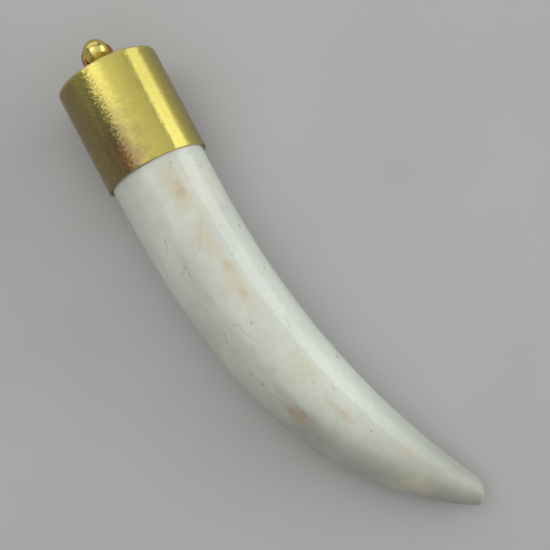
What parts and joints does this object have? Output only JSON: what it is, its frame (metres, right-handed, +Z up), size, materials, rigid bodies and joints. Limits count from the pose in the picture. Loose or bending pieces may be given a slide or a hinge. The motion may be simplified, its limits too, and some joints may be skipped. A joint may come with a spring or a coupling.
{
  "type": "tusk pendant",
  "caption": "Curved bone tusk pendant with a short gold-coloured metal cap, a wire ring bail and a polished ball.",
  "frame": {"origin": "on the ground under the centre of the lying pendant's box", "axes": "+X from the bail towards the tip, along the cap's axis; +Y towards the hollow side of the tusk's curve; +Z up"},
  "size_m": [0.0548, 0.0182, 0.01],
  "materials": {
    "bone": "off-white bone, smoothed and buffed to a soft gloss, with faint tan stains",
    "brushed_gold": "gold-coloured plate, finely brushed round the cap",
    "polished_gold": "gold-coloured plate, polished",
    "solder": "plated over, slightly uneven",
    "adhesive": "cured epoxy, dull"
  },
  "bodies": {
    "root": {"tusk": "bone", "glue_film": "adhesive", "cap_sleeve": "brushed_gold", "cap_end_disc": "brushed_gold", "bail_ring": "polished_gold", "bail_ball": "polished_gold", "bail_solder": "solder"}
  },
  "joints": []
}
